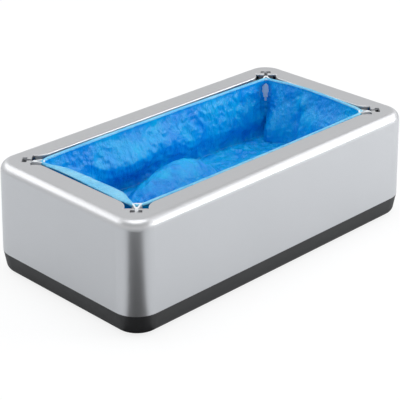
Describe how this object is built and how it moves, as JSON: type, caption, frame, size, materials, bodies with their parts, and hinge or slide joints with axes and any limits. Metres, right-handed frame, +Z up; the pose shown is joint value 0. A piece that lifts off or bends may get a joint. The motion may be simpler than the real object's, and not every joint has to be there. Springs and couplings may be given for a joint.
{
  "type": "shoe cover dispenser",
  "caption": "Foot-operated shoe cover dispenser: low silver box on a black base, with a blue film cover held open in its rim by white T-buckles.",
  "frame": {"origin": "on the floor, under the middle of the body", "axes": "+X along the long side, +Y along the short side, +Z up; front is the long side at -Y"},
  "size_m": [0.42, 0.223, 0.1236],
  "materials": {
    "black_base": "black moulded plastic",
    "blue_film": "translucent blue film",
    "dark_moving": "black moulded plastic",
    "grey_rail": "dark grey moulded plastic",
    "pale_hem": "pale blue film over elastic",
    "rubber": "black rubber",
    "silver_shell": "satin silver paint on moulded plastic",
    "spring_steel": "spring steel",
    "steel": "zinc-plated steel",
    "white_buckle": "white moulded plastic"
  },
  "bodies": {
    "housing": {"top_shell": "silver_shell", "base_tray": "black_base", "rubber_feet": "rubber", "shell_screws": "steel", "rail_screws": "steel", "pedal_guide_screws": "steel", "elastic_hem": "pale_hem", "shoe_cover_film": "blue_film", "guide_rail_back_right": "grey_rail", "catch_pin_back_right": "steel", "top_buckle_back_right": "white_buckle", "pusher_spring_back_right": "spring_steel", "pedal_spring_back_right": "spring_steel", "guide_rail_back_left": "grey_rail", "catch_pin_back_left": "steel", "top_buckle_back_left": "white_buckle", "pusher_spring_back_left": "spring_steel", "pedal_spring_back_left": "spring_steel", "guide_rail_front_left": "grey_rail", "catch_pin_front_left": "steel", "top_buckle_front_left": "white_buckle", "pusher_spring_front_left": "spring_steel", "pedal_spring_front_left": "spring_steel", "guide_rail_front_right": "grey_rail", "catch_pin_front_right": "steel", "top_buckle_front_right": "white_buckle", "pusher_spring_front_right": "spring_steel", "pedal_spring_front_right": "spring_steel"},
    "pedal": {"pedal_plate": "black_base", "rod_screws": "steel", "folded_covers": "blue_film", "pull_rod_back_right": "dark_moving", "pull_rod_back_left": "dark_moving", "pull_rod_front_left": "dark_moving", "pull_rod_front_right": "dark_moving"},
    "pusher_back_right": {"pusher_back_right": "white_buckle", "buckle_stack_back_right": "white_buckle"},
    "catch_back_right": {"release_catch_back_right": "dark_moving"},
    "pusher_back_left": {"pusher_back_left": "white_buckle", "buckle_stack_back_left": "white_buckle"},
    "catch_back_left": {"release_catch_back_left": "dark_moving"},
    "pusher_front_left": {"pusher_front_left": "white_buckle", "buckle_stack_front_left": "white_buckle"},
    "catch_front_left": {"release_catch_front_left": "dark_moving"},
    "pusher_front_right": {"pusher_front_right": "white_buckle", "buckle_stack_front_right": "white_buckle"},
    "catch_front_right": {"release_catch_front_right": "dark_moving"}
  },
  "joints": [
    {"name": "pedal_slide", "type": "slide", "parent": "housing", "child": "pedal", "axis": [0, 0, 1], "range_m": [-0.003, 0], "stiffness_N_per_m": 2400, "springref_m": 0.003, "deforming": ["pedal_spring_back_right", "pedal_spring_back_left", "pedal_spring_front_left", "pedal_spring_front_right"]},
    {"name": "pusher_slide_back_right", "type": "slide", "parent": "housing", "child": "pusher_back_right", "axis": [0, 0, 1], "range_m": [-0.04, 0], "stiffness_N_per_m": 80, "springref_m": 0.05, "deforming": ["pusher_spring_back_right"]},
    {"name": "pusher_slide_back_left", "type": "slide", "parent": "housing", "child": "pusher_back_left", "axis": [0, 0, 1], "range_m": [-0.04, 0], "stiffness_N_per_m": 80, "springref_m": 0.05, "deforming": ["pusher_spring_back_left"]},
    {"name": "pusher_slide_front_left", "type": "slide", "parent": "housing", "child": "pusher_front_left", "axis": [0, 0, 1], "range_m": [-0.04, 0], "stiffness_N_per_m": 80, "springref_m": 0.05, "deforming": ["pusher_spring_front_left"]},
    {"name": "pusher_slide_front_right", "type": "slide", "parent": "housing", "child": "pusher_front_right", "axis": [0, 0, 1], "range_m": [-0.04, 0], "stiffness_N_per_m": 80, "springref_m": 0.05, "deforming": ["pusher_spring_front_right"]},
    {"name": "catch_hinge_back_right", "type": "hinge", "parent": "housing", "child": "catch_back_right", "pos_m": [0.19049, 0.07564, 0.0936], "axis": [0.7071, 0.7071, 0], "range_deg": [0, 12.4]},
    {"name": "catch_hinge_back_left", "type": "hinge", "parent": "housing", "child": "catch_back_left", "pos_m": [-0.19049, 0.07564, 0.0936], "axis": [0.7071, -0.7071, 0], "range_deg": [0, 12.4]},
    {"name": "catch_hinge_front_left", "type": "hinge", "parent": "housing", "child": "catch_front_left", "pos_m": [-0.19049, -0.07564, 0.0936], "axis": [-0.7071, -0.7071, 0], "range_deg": [0, 12.4]},
    {"name": "catch_hinge_front_right", "type": "hinge", "parent": "housing", "child": "catch_front_right", "pos_m": [0.19049, -0.07564, 0.0936], "axis": [-0.7071, 0.7071, 0], "range_deg": [0, 12.4]}
  ],
  "couplings": [
    {"joint": "catch_hinge_back_right", "follows": "pedal_slide", "rad_per_m": -71.429},
    {"joint": "catch_hinge_back_left", "follows": "pedal_slide", "rad_per_m": -71.429},
    {"joint": "catch_hinge_front_left", "follows": "pedal_slide", "rad_per_m": -71.429},
    {"joint": "catch_hinge_front_right", "follows": "pedal_slide", "rad_per_m": -71.429}
  ]
}
